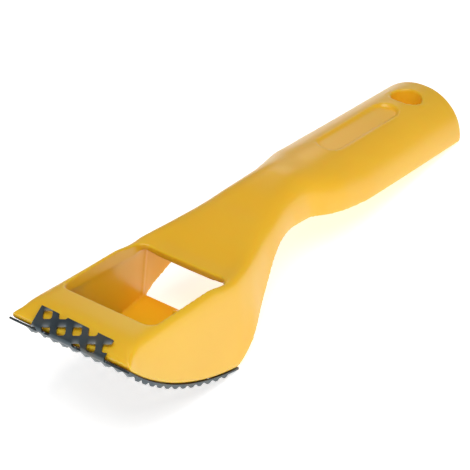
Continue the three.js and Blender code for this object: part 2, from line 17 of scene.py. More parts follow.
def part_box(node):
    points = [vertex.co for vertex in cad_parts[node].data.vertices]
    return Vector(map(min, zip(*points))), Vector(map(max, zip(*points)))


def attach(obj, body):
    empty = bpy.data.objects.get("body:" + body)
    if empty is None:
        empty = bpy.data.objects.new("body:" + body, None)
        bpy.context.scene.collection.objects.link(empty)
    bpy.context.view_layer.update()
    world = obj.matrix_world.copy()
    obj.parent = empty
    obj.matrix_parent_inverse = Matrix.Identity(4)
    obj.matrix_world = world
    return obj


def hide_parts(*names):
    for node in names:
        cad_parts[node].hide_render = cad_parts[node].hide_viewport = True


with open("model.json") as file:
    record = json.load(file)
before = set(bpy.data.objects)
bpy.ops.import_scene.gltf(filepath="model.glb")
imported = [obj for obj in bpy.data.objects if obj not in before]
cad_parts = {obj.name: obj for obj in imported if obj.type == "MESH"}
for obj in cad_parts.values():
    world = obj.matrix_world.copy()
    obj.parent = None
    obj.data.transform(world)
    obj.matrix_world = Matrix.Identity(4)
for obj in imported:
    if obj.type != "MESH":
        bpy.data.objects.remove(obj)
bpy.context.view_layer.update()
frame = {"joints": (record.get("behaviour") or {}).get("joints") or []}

MM = 0.001

# Blade
BLADE_WIDTH = 41.3
BLADE_CHORD = 63.0
SOLE_SAGITTA = 4.4
BLADE_THICKNESS = 0.6
TOOTH_HEIGHT = 0.8
TOOTH_LENGTH = 2.0
HOLE_LENGTH = 2.5
HOLE_WIDTH = 2.9
HOLE_PITCH = 4.78
LATTICE_TURN = math.radians(-22.4)
LATTICE_ACROSS = 7.6               # one hole's place from the middle
LATTICE_BACK = -1.9                # and back from the fold's end
BLADE_MARGIN = 0.5
TONGUE_WIDTH = 25.0
TONGUE_LENGTH = 5.4
TONGUE_LIFT = math.radians(6)
SIDE_TOOTH_PITCH = 4.6             # along the right edge
SIDE_TOOTH_HEIGHT = 0.75
TONGUE_TEETH = 0.35                # height of its teeth as a share of the sole's
TONGUE_SLANT = 0.02                # how far its top edge is out of square
SHEAR = 0.03                       # the sheet's long edges stay this far inside its nominal width
SHEET_INSET = 2 * SHEAR            # and its outer face this far inside the nominal one
TAIL_INSET = 3 * SHEAR             # the tail's face is a little further in, so that the two never coincide
TONGUE_SHORT = 4 * SHEAR           # taken off the tongue's length
PLAIN_STRIP = 1.0                  # no teeth this close to either end of the fold
LAND = 0.45                        # flat steel left beside and below each hole
TAIL_WIDTH = 7.8
TAIL_MID = 3.4
TAIL_TOP = 2.4
HEEL_BEND = 2.4

# Body
OVERALL_LENGTH = 190.6
SOLE_SLOPE = math.radians(34.5)
HANDLE_SLOPE = math.radians(11.5)
HANDLE_TAPER = 0.018
HANDLE_STRAIGHT = 59.0
HANDLE_WIDTH = 33.2
HANDLE_HEIGHT = 15.1
NECK_WIDTH = 22.0
NECK_TOP = 32.7
NOTCH_TOP = 22.4
RIM_WIDTH = 36.4
RIM_RISE = 5.6
RIM_FALL = 0.176
LIP_SLOPE = math.radians(26)
LIP_EDGE = 2.0
LIP_NOSE = 0.8
RIDGE_SOFTNESS = 0.9               # how gently the lip's face meets the rims
SIDE_WALL = 2.2
TOP_WALL = 2.6
END_WALL = 2.5
WINDOW_FRONT = 16.4
WINDOW_PAST_HEEL = 1.9
WINDOW_CORNER = 3.6
DISH_DEPTH = 2.8
DISH_LEAD = 12.0
HANG_HOLE = 10.4
HANG_INSET = 12.4
HANG_COLLAR = 1.8
PANEL_LENGTH = 42.0
PANEL_WIDTH = 9.0
PANEL_DEPTH = 1.0
PANEL_INSET = 22.0
BAR_TOP = 6.6
BAR_FRONT = 6.0
BAR_REAR = 6.6
END_ROUND = 1.2
WITNESS_X = 57.0                   # the mould's split line inside the side walls
WITNESS_RISE = 0.22
WITNESS_WIDTH = 0.45

# Fixing
SCREW_D = 3.0
SCREW_CLEARANCE = 0.2
SCREW_HEAD_D = 5.5
SCREW_HEAD_H = 1.9
SCREW_SLOT = 0.8
THREAD_PITCH = 0.5
THREAD_DEPTH = 0.28
NUT_SIZE = 5.5
NUT_THICKNESS = 1.8
NUT_SEAT = 2.0
PLATE_WIDTH = 7.4
PLATE_LENGTH = 4.8
PLATE_THICKNESS = 1.2
FIT = 0.3

# Fineness of the meshes
ARCH_STEPS = 40                    # points from one lower edge to the top's middle
STATION_STEP = 1.0
SKIN_VOXEL = 0.47                  # the moulded skin is remeshed at this size, which rounds its edges
SKIN_SMOOTHING = 6


# ---- lines of the body ----

def through(points):
    """A smooth line through (x, value) points that never overshoots them."""
    xs, ys = np.array(points, float).T
    chords = np.diff(ys) / np.diff(xs)
    before, after = chords[:-1], chords[1:]
    same_way = before * after > 0
    total = np.where(same_way, before + after, 1)
    slopes = np.concatenate([chords[:1], np.where(same_way, 2 * before * after / total, 0), chords[-1:]])

    def line(x):
        x = np.asarray(x, float)
        i = np.clip(np.searchsorted(xs, x, side="right") - 1, 0, len(xs) - 2)
        span = xs[i + 1] - xs[i]
        t = (x - xs[i]) / span
        a = 2 * t**3 - 3 * t**2 + 1
        b = t**3 - 2 * t**2 + t
        c = 3 * t**2 - 2 * t**3
        d = t**3 - t**2
        curve = a * ys[i] + b * span * slopes[i] + c * ys[i + 1] + d * span * slopes[i + 1]
        curve = np.where(x < xs[0], ys[0] + slopes[0] * (x - xs[0]), curve)
        return np.where(x > xs[-1], ys[-1] + slopes[-1] * (x - xs[-1]), curve)

    return line


along = np.array([math.cos(SOLE_SLOPE), -math.sin(SOLE_SLOPE)])
into = np.array([math.sin(SOLE_SLOPE), math.cos(SOLE_SLOPE)])
sole_radius = (BLADE_CHORD**2 / 4 + SOLE_SAGITTA**2) / (2 * SOLE_SAGITTA)
sole_span = math.asin(BLADE_CHORD / 2 / sole_radius)
lip_height = BLADE_CHORD * math.sin(SOLE_SLOPE) + HEEL_BEND * (1 - math.cos(SOLE_SLOPE - sole_span))
sole_centre = np.array([0, lip_height]) + along * BLADE_CHORD / 2 + into * (sole_radius - SOLE_SAGITTA)
body_inset = BLADE_THICKNESS + FIT


def sole_normal(angle):
    return -into * math.cos(angle) + along * math.sin(angle)


def sole_point(angle, inset=0.0):
    return sole_centre + sole_normal(angle) * (sole_radius - inset)


heel_x, heel_z = sole_point(sole_span, body_inset)
lip_x, lip_z = sole_point(-sole_span, body_inset)
handle_foot = OVERALL_LENGTH - HANDLE_HEIGHT * math.sin(HANDLE_SLOPE)
handle_start = handle_foot - HANDLE_STRAIGHT
neck = (heel_x + handle_start) / 2 + 6
window_rear = heel_x + WINDOW_PAST_HEEL


def arm(share):
    """A place between the heel and the neck."""
    return heel_x + (neck - heel_x) * share


def flare(share):
    """A place between the neck and the handle."""
    return neck + (handle_start - neck) * share


def sole_height(x):
    radius = sole_radius - body_inset
    reach = np.clip(x - sole_centre[0], -radius, radius)
    return sole_centre[1] - np.sqrt(radius**2 - reach**2)


def handle_base(x):
    return (handle_foot - x) * math.tan(HANDLE_SLOPE)


def handle_rise(x):
    return HANDLE_HEIGHT * math.cos(HANDLE_SLOPE) - HANDLE_TAPER * (handle_foot - x)


def rim_height(x):
    return lip_z + RIM_RISE - RIM_FALL * x


edge_behind_heel = through([
    (heel_x, heel_z), (arm(0.09), heel_z + 1.7), (arm(0.24), NOTCH_TOP * 0.36),
    (arm(0.49), NOTCH_TOP * 0.74), (arm(0.64), NOTCH_TOP * 0.94), (arm(0.79), NOTCH_TOP),
    (neck, NOTCH_TOP * 0.92), (flare(0.25), NOTCH_TOP * 0.83),
    (flare(0.63), handle_base(flare(0.63)) + 0.3), (handle_start, handle_base(handle_start)),
    (handle_foot, 0),
])
edge_width = through([
    (0, BLADE_WIDTH / 2), (heel_x, BLADE_WIDTH / 2), (arm(0.17), BLADE_WIDTH / 2 - 0.3),
    (arm(0.37), BLADE_WIDTH / 2 - 2.9), (arm(0.61), BLADE_WIDTH / 2 - 5.9),
    (arm(0.79), NECK_WIDTH / 2 + 1.6), (neck, NECK_WIDTH / 2), (flare(0.22), NECK_WIDTH / 2),
    (flare(0.44), NECK_WIDTH / 2 + 2.2), (flare(0.84), HANDLE_WIDTH / 2 - 1),
    (handle_start + 5, HANDLE_WIDTH / 2 - 0.2), (handle_foot, HANDLE_WIDTH / 2 - 0.3),
])
shoulder_width = through([
    (lip_x, BLADE_WIDTH / 2 - 0.4), (lip_x + 4, RIM_WIDTH / 2 + 0.3), (lip_x + 9, RIM_WIDTH / 2),
    (window_rear, RIM_WIDTH / 2), (arm(0.22), RIM_WIDTH / 2 - 1.2), (arm(0.4), RIM_WIDTH / 2 - 3),
    (arm(0.63), RIM_WIDTH / 2 - 5.9), (arm(0.91), NECK_WIDTH / 2 - 0.4),
    (flare(0.16), NECK_WIDTH / 2 - 0.4), (flare(0.37), NECK_WIDTH / 2 + 1.3),
    (flare(0.72), HANDLE_WIDTH / 2 - 0.4), (handle_start + 4, HANDLE_WIDTH / 2),
    (handle_foot, HANDLE_WIDTH / 2 - 0.3),
])
top_behind_window = through([
    (window_rear, rim_height(window_rear)), (arm(0.25), rim_height(window_rear) - 0.2),
    (arm(0.64), NECK_TOP - 0.8), (arm(0.89), NECK_TOP), (flare(0.16), NECK_TOP - 0.4),
    (flare(0.6), handle_base(flare(0.6)) + handle_rise(flare(0.6)) + 0.7),
    (handle_start, handle_base(handle_start) + handle_rise(handle_start) + 0.3),
    (handle_foot, handle_rise(handle_foot)),
])
dish = through([
    (lip_x, 0), (window_rear - DISH_LEAD, 0), (window_rear - 2, DISH_DEPTH), (window_rear + 4, DISH_DEPTH),
    (window_rear + 14, DISH_DEPTH * 0.45), (window_rear + 27, 0), (handle_foot, 0),
])
squareness = through([
    (0, 14), (window_rear, 12), (window_rear + 14, 7), (neck, 3.4), (flare(0.5), 2.6),
    (handle_start, 2.2), (handle_foot, 2.05),
])
lean = through([
    (0, 0), (neck, 0), (handle_start, math.tan(HANDLE_SLOPE)), (handle_foot, math.tan(HANDLE_SLOPE)),
])


def edge_height(x):
    return np.where(x <= heel_x, sole_height(x), edge_behind_heel(x))


def shoulder_height(x):
    lip_face = lip_z + LIP_EDGE + (x - lip_x) * math.tan(LIP_SLOPE)
    ridge = -RIDGE_SOFTNESS * np.logaddexp(-rim_height(x) / RIDGE_SOFTNESS, -lip_face / RIDGE_SOFTNESS)
    return np.where(x >= window_rear, top_behind_window(x), ridge)


# ---- mesh helpers ----

shift_x = lip_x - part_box("body")[0].x / MM


def placed(points):
    """Design millimetres to metres in the frame."""
    return (np.asarray(points, float) - [shift_x, 0, 0]) * MM


def new_piece(name, points, faces):
    mesh = bpy.data.meshes.new(name)
    mesh.from_pydata([tuple(p) for p in points], [], [tuple(int(i) for i in f) for f in faces])
    mesh.update()
    piece = bpy.data.objects.new(name, mesh)
    bpy.context.scene.collection.objects.link(piece)
    return piece


def facing_out(piece):
    """Merges doubles and turns every face outwards."""
    bm = bmesh.new()
    bm.from_mesh(piece.data)
    bmesh.ops.remove_doubles(bm, verts=bm.verts, dist=1e-7)
    bmesh.ops.recalc_face_normals(bm, faces=bm.faces)
    bm.to_mesh(piece.data)
    bm.free()
    return piece


def settle(piece):
    """Turns a piece and its modifiers into a plain mesh, at the origin."""
    bpy.context.view_layer.update()
    evaluated = piece.evaluated_get(bpy.context.evaluated_depsgraph_get())
    baked = bpy.data.meshes.new_from_object(evaluated)
    old = piece.data
    piece.modifiers.clear()
    piece.data = baked
    bpy.data.meshes.remove(old)
    baked.name = piece.name
    return piece


def combine(piece, tool, operation):
    """Cuts a tool from a piece, or joins it, and removes the tool."""
    change = piece.modifiers.new("change", "BOOLEAN")
    change.operation = operation
    change.solver = "MANIFOLD"
    change.object = tool
    settle(piece)
    bpy.data.objects.remove(tool)
    return piece


def soften(piece, width, segments=3, angle=30):
    bevel = piece.modifiers.new("edges", "BEVEL")
    bevel.width = width * MM
    bevel.segments = segments
    bevel.limit_method = "ANGLE"
    bevel.angle_limit = math.radians(angle)
    bevel.harden_normals = False
    return settle(piece)


def smooth(piece, angle=None):
    piece.data.shade_smooth()
    if angle:
        piece.data.set_sharp_from_angle(angle=math.radians(angle))
    return piece


def ends_and_sides(count):
    """Faces of a solid whose two ends are rings of the same number of points."""
    faces = [list(range(count)), list(range(count, 2 * count))]
    for i in range(count):
        j = (i + 1) % count
        faces.append([i, j, j + count, i + count])
    return faces


def upright(outline, low, high):
    """Points of an (x, y) outline at two heights."""
    return [(x, y, low) for x, y in outline] + [(x, y, high) for x, y in outline]


def prism(name, outline, width):
    """A side outline of (x, z) points, given depth across the body."""
    sides = [[(x, y, z) for x, z in outline] for y in (-width / 2, width / 2)]
    return facing_out(new_piece(name, placed(sides[0] + sides[1]), ends_and_sides(len(outline))))


def turned_column(name, radius, low, high, sides=72):
    """An upright round column about the z axis, in millimetres."""
    angles = np.linspace(0, 2 * math.pi, sides, endpoint=False)
    ring = np.stack([radius * np.cos(angles), radius * np.sin(angles)], 1)
    return facing_out(new_piece(name, upright(ring, low, high), ends_and_sides(sides)))


def stadium(name, length, width, low, high, steps=20):
    """An upright block with round ends along x, in millimetres."""
    r = width / 2
    half = np.linspace(-math.pi / 2, math.pi / 2, steps)
    right = [(length / 2 - r + r * math.cos(a), r * math.sin(a)) for a in half]
    outline = right + [(-x, -y) for x, y in right]
    return facing_out(new_piece(name, upright(outline, low, high), ends_and_sides(len(outline))))


# ---- the body ----

def loft(name, stations, shrink, wall, roof, drop):
    """A closed solid through arch sections, each with its own shrink added to wall and roof."""
    x = np.asarray(stations, float)[:, None]
    shrink = np.broadcast_to(np.asarray(shrink, float), (len(stations),))[:, None]
    steps = np.arange(-ARCH_STEPS, ARCH_STEPS + 1)[None, :]
    turn = math.pi / 2 * (1 - np.abs(steps) / ARCH_STEPS)
    power = 2 / squareness(x)
    across = np.clip(np.cos(turn), 0, 1) ** power
    up = np.sin(turn) ** power
    base = edge_height(x) - drop
    top = shoulder_height(x) - dish(x) * (1 - across**6) - roof - shrink
    width = edge_width(x) + (shoulder_width(x) - edge_width(x)) * up - wall - shrink
    y = np.sign(steps) * across * width
    z = base + (top - base) * up
    leaning = x + lean(x) * (z - edge_height(x))
    points = np.stack([leaning, y, z], -1)
    rings, count = points.shape[:2]
    faces = [list(range(count)), list(range((rings - 1) * count, rings * count))]
    for r in range(rings - 1):
        for i in range(count):
            a = r * count + i
            b = r * count + (i + 1) % count
            faces.append([a, b, b + count, a + count])
    return facing_out(new_piece(name, placed(points.reshape(-1, 3)), faces))


def outer_and_inner():
    end = np.linspace(0, math.pi / 2, 6)
    stations = np.concatenate([
        np.linspace(lip_x, handle_foot - END_ROUND, int(OVERALL_LENGTH / STATION_STEP)),
        handle_foot - END_ROUND * (1 - np.sin(end[1:])),
    ])
    shrink = np.concatenate([np.zeros(len(stations) - 5), END_ROUND * (1 - np.cos(end[1:]))])
    outer = loft("body_moulding", stations, shrink, 0, 0, 0)
    hollow = np.linspace(lip_x + 7, handle_foot - END_WALL, int(OVERALL_LENGTH / STATION_STEP))
    return outer, loft("hollow", hollow, 0, SIDE_WALL, TOP_WALL, 1)


def window_cutter():
    length = window_rear - WINDOW_FRONT
    width = RIM_WIDTH - 2 * SIDE_WALL - 0.4
    r = WINDOW_CORNER
    corners = [(length - r, width / 2 - r, 0), (r, width / 2 - r, 1),
               (r, r - width / 2, 2), (length - r, r - width / 2, 3)]
    outline = []
    for cx, cy, quarter in corners:
        for a in np.linspace(quarter, quarter + 1, 12) * math.pi / 2:
            outline.append((WINDOW_FRONT + cx + r * math.cos(a), cy + r * math.sin(a)))
    points = placed(upright(outline, lip_z / 2, lip_z * 1.5))
    return facing_out(new_piece("window", points, ends_and_sides(len(outline))))


# The fixing's own frame comes from the screw's joint: x points out along the screw, z up the tail.
screw_joint = next(j for j in frame["joints"] if j["name"] == "screw_turn")
screw_out = Vector(screw_joint["axis"]).normalized()
tail_up = Vector((-screw_out.z, 0, screw_out.x))
fixing = Matrix.Translation(screw_joint["pos_m"]) @ Matrix((
    (screw_out.x, 0, tail_up.x, 0), (0, 1, 0, 0), (screw_out.z, 0, tail_up.z, 0), (0, 0, 0, 1)))

seat_face = -BLADE_THICKNESS / 2 - FIT
nut_face = seat_face - NUT_SEAT
plate_face = BLADE_THICKNESS / 2 + FIT


def in_fixing(piece):
    """Takes a piece made in millimetres in the fixing's frame to its place."""
    piece.data.transform(fixing @ Matrix.Scale(MM, 4))
    return piece


def block(name, out, width, up):
    """A block between two distances out and two heights up, in the fixing's frame, unplaced."""
    corners = [(x, y, z) for x in out for y in (-width / 2, width / 2) for z in up]
    faces = [(0, 1, 3, 2), (4, 6, 7, 5), (0, 4, 5, 1), (2, 3, 7, 6), (0, 2, 6, 4), (1, 5, 7, 3)]
    return facing_out(new_piece(name, corners, faces))


def bore(name, radius, out, sides=48):
    """A round bar along the screw's axis, in the fixing's frame, unplaced."""
    piece = turned_column(name, radius, out[0], out[1], sides)
    piece.data.transform(Matrix.Rotation(math.pi / 2, 4, "Y"))
    return piece


def heel_bar():
    front, rear = heel_x - BAR_FRONT, heel_x + BAR_REAR
    under = [(x, float(sole_height(x))) for x in np.linspace(front, heel_x, 12)]
    behind = [(x, float(edge_height(x))) for x in np.linspace(heel_x + 1, rear, 6)]
    web = prism("web", under + behind + [(rear - 0.7, BAR_TOP), (front, BAR_TOP)], BLADE_WIDTH - SIDE_WALL)
    boss = in_fixing(block("boss", (nut_face - NUT_THICKNESS - FIT - 0.5, seat_face), NUT_SIZE + 3.2,
                           (-TAIL_MID, 3.6)))
    below = under + [(rear, heel_z), (rear, heel_z - 8), (front, heel_z - 8)]
    return combine(web, combine(boss, prism("below", below, BLADE_WIDTH), "DIFFERENCE"), "UNION")


def on_handle(piece, from_end):
    """Takes a piece made flat, in millimetres, to the handle's top at a distance from its end."""
    x = OVERALL_LENGTH - from_end * math.cos(HANDLE_SLOPE)
    rise = float(handle_rise(x)) * (1 + float(lean(x)) * math.tan(HANDLE_SLOPE))
    place = Matrix.Translation(((x - shift_x) * MM, 0, (float(handle_base(x)) + rise) * MM))
    piece.data.transform(place @ Matrix.Rotation(HANDLE_SLOPE, 4, "Y") @ Matrix.Scale(MM, 4))
    return piece


def draw_witness_lines(piece):
    """The faint upright ridge that a split in the mould leaves inside each side wall."""
    mesh = piece.data
    spots = np.zeros(len(mesh.vertices) * 3)
    mesh.vertices.foreach_get("co", spots)
    spots = spots.reshape(-1, 3)
    normals = np.array([v.normal for v in mesh.vertices])
    x = spots[:, 0] / MM + shift_x
    inward = -normals[:, 1] * np.sign(spots[:, 1])
    on_inner_wall = (inward > 0.8) * (np.abs(spots[:, 1]) > 12 * MM)
    ridge = np.exp(-(((x - WITNESS_X) / WITNESS_WIDTH) ** 2)) * on_inner_wall
    spots += normals * (WITNESS_RISE * MM * ridge)[:, None]
    mesh.vertices.foreach_set("co", spots.ravel())
    mesh.update()



def body_moulding():
    skin, hollow = outer_and_inner()
    combine(skin, hollow, "DIFFERENCE")
    combine(skin, window_cutter(), "DIFFERENCE")
    combine(skin, heel_bar(), "UNION")
    half_nut = NUT_SIZE / 2 + FIT
    cuts = [
        block("tail_slot", (seat_face, seat_face + 12), TAIL_WIDTH + 2 * FIT, (-TAIL_MID * 3, 9)),
        block("nut_pocket", (nut_face - 9, nut_face), 2 * half_nut, (-half_nut, half_nut)),
        bore("screw_hole", SCREW_D / 2 + SCREW_CLEARANCE, (nut_face - 3, seat_face + 3)),
    ]
    for cut in cuts:
        combine(skin, in_fixing(cut), "DIFFERENCE")
    depth = HANDLE_HEIGHT - 3.4
    collar = turned_column("collar", HANG_HOLE / 2 + HANG_COLLAR, -depth - 1, -1)
    combine(skin, on_handle(collar, HANG_INSET), "UNION")
    hole = turned_column("hole", HANG_HOLE / 2, -HANDLE_HEIGHT * 1.5, HANDLE_HEIGHT)
    combine(skin, on_handle(hole, HANG_INSET), "DIFFERENCE")
    panel = stadium("panel", PANEL_LENGTH, PANEL_WIDTH, -PANEL_DEPTH, 5)
    combine(skin, on_handle(panel, PANEL_INSET + PANEL_LENGTH / 2), "DIFFERENCE")
    remesh = skin.modifiers.new("skin", "REMESH")
    remesh.mode = "VOXEL"
    remesh.voxel_size = SKIN_VOXEL * MM
    relax = skin.modifiers.new("relax", "SMOOTH")
    relax.factor = 0.5
    relax.iterations = SKIN_SMOOTHING
    settle(skin)
    draw_witness_lines(skin)
    return smooth(skin)


# ---- the blade ----

def fold_place():
    """Centre of the fold round the lip's nose."""
    facing = np.array([math.cos(LIP_SLOPE), math.sin(LIP_SLOPE)])
    start = np.array([lip_x, lip_z + LIP_EDGE]) + np.array([facing[1], -facing[0]]) * LIP_NOSE
    offset = start - sole_centre
    half = offset @ facing
    reach = math.sqrt(half**2 - offset @ offset + (sole_radius - body_inset - LIP_NOSE) ** 2)
    return start + facing * (-half - reach)


fold_centre = fold_place()
fold_radius = LIP_NOSE + FIT + BLADE_THICKNESS
fold_start = math.atan2(*(fold_centre - sole_centre)[::-1])
fold_turn = (fold_start - (math.pi / 2 + LIP_SLOPE + TONGUE_LIFT)) % (2 * math.pi)
fold_length = fold_turn * fold_radius
to_fold = fold_centre - sole_centre
start_angle = -math.acos(sole_normal(0) @ to_fold / np.linalg.norm(to_fold))
sole_length = (sole_span - start_angle) * sole_radius
bend_centre = sole_centre + sole_normal(sole_span) * (sole_radius - HEEL_BEND)
bend_start = math.atan2(*sole_normal(sole_span)[::-1])
bend_end = math.atan2(screw_out.z, screw_out.x)
bend_length = (bend_end - bend_start) * HEEL_BEND


def on_strip(s):
    """Point and outward normal of the strip's outer face, s millimetres back from the fold's end."""
    if s >= sole_length:
        turn = min((s - sole_length) / HEEL_BEND, bend_end - bend_start)
        angle = bend_start + turn
        normal = np.array([math.cos(angle), math.sin(angle)])
        beyond = max(s - sole_length - bend_length, 0)
        return bend_centre + normal * HEEL_BEND + np.array([-normal[1], normal[0]]) * beyond, normal
    if s >= 0:
        angle = start_angle + s / sole_radius
        return sole_point(angle), sole_normal(angle)
    turn = min(-s, fold_length) / fold_radius
    normal = np.array([math.cos(fold_start - turn), math.sin(fold_start - turn)])
    beyond = max(-s - fold_length, 0)
    return fold_centre + normal * fold_radius + np.array([normal[1], -normal[0]]) * beyond, normal


def tile(name, punched):
    """One square of the sheet, flat and in millimetres, with or without its hole and raised tooth."""
    a, b = HOLE_LENGTH / 2, HOLE_WIDTH / 2
    foot = a - HOLE_PITCH + 0.3
    ramp = [-a - TOOTH_LENGTH * share for share in (0.8, 0.6, 0.4, 0.18)]
    rows = [foot, *ramp, -a, 0, a - LAND, a, foot + HOLE_PITCH]
    half = HOLE_PITCH / 2
    columns = [-half, -b - LAND, -b, -b * 0.66, -b * 0.33, 0, b * 0.33, b * 0.66, b, b + LAND, half]
    points = []
    for u in rows:
        for v in columns:
            rise = 0.0
            if punched and u <= -a and abs(v) < b:
                climb = max((u + a + TOOTH_LENGTH) / TOOTH_LENGTH, 0)
                rise = TOOTH_HEIGHT * climb**1.4 * (1 - abs(v / b) ** 2.2)
            corner = punched and u == a and abs(v) == b
            points.append((u - 0.3 if corner else u, v * 0.86 if corner else v, rise))
    faces = []
    wide = len(columns)
    for i in range(len(rows) - 1):
        for j in range(wide - 1):
            inside = rows[i] >= -a and rows[i + 1] <= a and columns[j] >= -b and columns[j + 1] <= b
            if not (punched and inside):
                k = i * wide + j
                faces.append((k, k + wide, k + wide + 1, k + 1))
    return new_piece(name, points, faces)


def socket_value(modifier, tree, name, value):
    item = next(i for i in tree.interface.items_tree if i.name == name and i.in_out == "INPUT")
    modifier[item.identifier] = value


def perforated_sheet_tree(material):
    """Lays tiles on a turned square lattice: punched ones where a hole fits, plain ones elsewhere."""
    tree = bpy.data.node_groups.new("perforated_sheet", "GeometryNodeTree")
    face = tree.interface
    face.new_socket("Geometry", in_out="INPUT", socket_type="NodeSocketGeometry")
    for name, kind in [("Punched Tile", "Object"), ("Plain Tile", "Object"), ("Pitch", "Float"),
                       ("Rows", "Int"), ("Turn", "Float"), ("Back", "Float"), ("Across", "Float"),
                       ("Sole Start", "Float"), ("Sole End", "Float"), ("Sole Keep", "Float"),
                       ("Tongue Keep", "Float")]:
        face.new_socket(name, in_out="INPUT", socket_type="NodeSocket" + kind)
    face.new_socket("Geometry", in_out="OUTPUT", socket_type="NodeSocketGeometry")
    nodes, links = tree.nodes, tree.links

    def add(kind, links_in=(), **settings):
        node = nodes.new(kind)
        for key, value in settings.items():
            setattr(node, key, value)
        for socket, source in links_in:
            if isinstance(source, (int, float, bool, tuple)):
                node.inputs[socket].default_value = source
            else:
                links.new(source, node.inputs[socket])
        return node

    def math_node(operation, first, second):
        return add("ShaderNodeMath", [(0, first), (1, second)], operation=operation).outputs[0]

    def both(first, second, operation="AND"):
        return add("FunctionNodeBooleanMath", [(0, first), (1, second)], operation=operation).outputs[0]

    def compare(operation, first, second):
        node = add("FunctionNodeCompare", data_type="FLOAT", operation=operation)
        for socket, source in (("A", first), ("B", second)):
            if isinstance(source, (int, float)):
                node.inputs[socket].default_value = source
            else:
                links.new(source, node.inputs[socket])
        return node.outputs[0]

    given = nodes.new("NodeGroupInput").outputs
    span = math_node("MULTIPLY", given["Pitch"], math_node("SUBTRACT", given["Rows"], 1.0))
    grid = add("GeometryNodeMeshGrid", [("Size X", span), ("Size Y", span), ("Vertices X", given["Rows"]),
                                        ("Vertices Y", given["Rows"])])
    rotation = add("ShaderNodeCombineXYZ", [("Z", given["Turn"])])
    offset = add("ShaderNodeCombineXYZ", [("X", given["Back"]), ("Y", given["Across"])])
    lattice = add("GeometryNodeTransform", [("Geometry", grid.outputs["Mesh"]),
                                            ("Rotation", rotation.outputs[0]),
                                            ("Translation", offset.outputs[0])])
    where = add("ShaderNodeSeparateXYZ", [(0, add("GeometryNodeInputPosition").outputs[0])])
    s = where.outputs["X"]
    off_middle = math_node("ABSOLUTE", where.outputs["Y"], 0.0)
    on_sole = both(both(compare("GREATER_EQUAL", s, given["Sole Start"]),
                        compare("LESS_EQUAL", s, given["Sole End"])),
                   compare("LESS_EQUAL", off_middle, given["Sole Keep"]))
    on_tongue = both(compare("LESS_THAN", s, 0.0), compare("LESS_EQUAL", off_middle, given["Tongue Keep"]))
    punched = both(on_sole, on_tongue, "OR")
    plain = add("FunctionNodeBooleanMath", [(0, punched)], operation="NOT").outputs[0]
    laid = []
    for choice, name in ((punched, "Punched Tile"), (plain, "Plain Tile")):
        shape = add("GeometryNodeObjectInfo", [("Object", given[name])])
        laid.append(add("GeometryNodeInstanceOnPoints",
                        [("Points", lattice.outputs[0]), ("Selection", choice),
                         ("Instance", shape.outputs["Geometry"]), ("Rotation", rotation.outputs[0])]))
    joined = add("GeometryNodeJoinGeometry")
    for instances in laid:
        links.new(instances.outputs[0], joined.inputs[0])
    real = add("GeometryNodeRealizeInstances", [("Geometry", joined.outputs[0])])
    welded = add("GeometryNodeMergeByDistance", [("Geometry", real.outputs[0]), ("Distance", 0.01)])
    finished = add("GeometryNodeSetMaterial", [("Geometry", welded.outputs[0])])
    finished.inputs["Material"].default_value = material
    links.new(finished.outputs[0], nodes.new("NodeGroupOutput").inputs[0])
    return tree


def flat_sheet(material):
    """The perforated sheet before it is cut and bent, flat and in millimetres."""
    reach = math.ceil((sole_length + BLADE_WIDTH / 2) / HOLE_PITCH)
    sheet = new_piece("rasp_sheet", [(0, 0, 0)], [])
    tiles = tile("punched_tile", True), tile("plain_tile", False)
    tree = perforated_sheet_tree(material)
    lay = sheet.modifiers.new("perforations", "NODES")
    lay.node_group = tree
    values = {
        "Punched Tile": tiles[0], "Plain Tile": tiles[1], "Pitch": HOLE_PITCH, "Rows": 2 * reach + 1,
        "Turn": LATTICE_TURN, "Back": LATTICE_BACK, "Across": LATTICE_ACROSS,
        "Sole Start": HOLE_LENGTH + TOOTH_LENGTH, "Sole End": sole_length - HOLE_LENGTH,
        "Sole Keep": BLADE_WIDTH / 2 - BLADE_MARGIN - HOLE_WIDTH / 2,
        "Tongue Keep": TONGUE_WIDTH / 2,
    }
    for name, value in values.items():
        socket_value(lay, tree, name, value)
    settle(sheet)
    for shape in tiles:
        bpy.data.objects.remove(shape)
    return sheet


def trim(bm, point, normal, keep=lambda centre: True):
    """Cuts the flat sheet along a line and drops what lies on the normal's side, where keep allows."""
    faces = [f for f in bm.faces if keep(f.calc_center_median())]
    geometry = set(faces)
    for f in faces:
        geometry.update(f.edges)
        geometry.update(f.verts)
    bmesh.ops.bisect_plane(bm, geom=list(geometry), plane_co=point, plane_no=normal, dist=0.02)
    normal = Vector(normal)
    gone = [f for f in bm.faces if keep(f.calc_center_median())
            and (f.calc_center_median() - Vector(point)) @ normal > 0]
    bmesh.ops.delete(bm, geom=gone, context="FACES")


def split(bm, point, normal):
    """Cuts the flat sheet along a line and keeps both sides."""
    everything = bm.verts[:] + bm.edges[:] + bm.faces[:]
    bmesh.ops.bisect_plane(bm, geom=everything, plane_co=point, plane_no=normal, dist=0.02)


def ahead_of_sole(centre):
    return centre.x < 0


def cut_sheet(bm):
    """Cuts the laid tiles to the blade's outline: the full sole, and the narrower tongue ahead of it."""
    edge = BLADE_WIDTH / 2 - SHEAR
    side = TONGUE_WIDTH / 2
    top = -fold_length - TONGUE_LENGTH + TONGUE_SHORT
    trim(bm, (0, edge, 0), (0, 1, 0))
    trim(bm, (0, -edge, 0), (0, -1, 0))
    trim(bm, (sole_length, 0, 0), (1, 0, 0))
    trim(bm, (top, side, 0), (-1, -TONGUE_SLANT, 0))
    split(bm, (0, 0, 0), (1, 0, 0))
    trim(bm, (0, side, 0), (0, 1, 0), ahead_of_sole)
    trim(bm, (0, -side, 0), (0, -1, 0), ahead_of_sole)


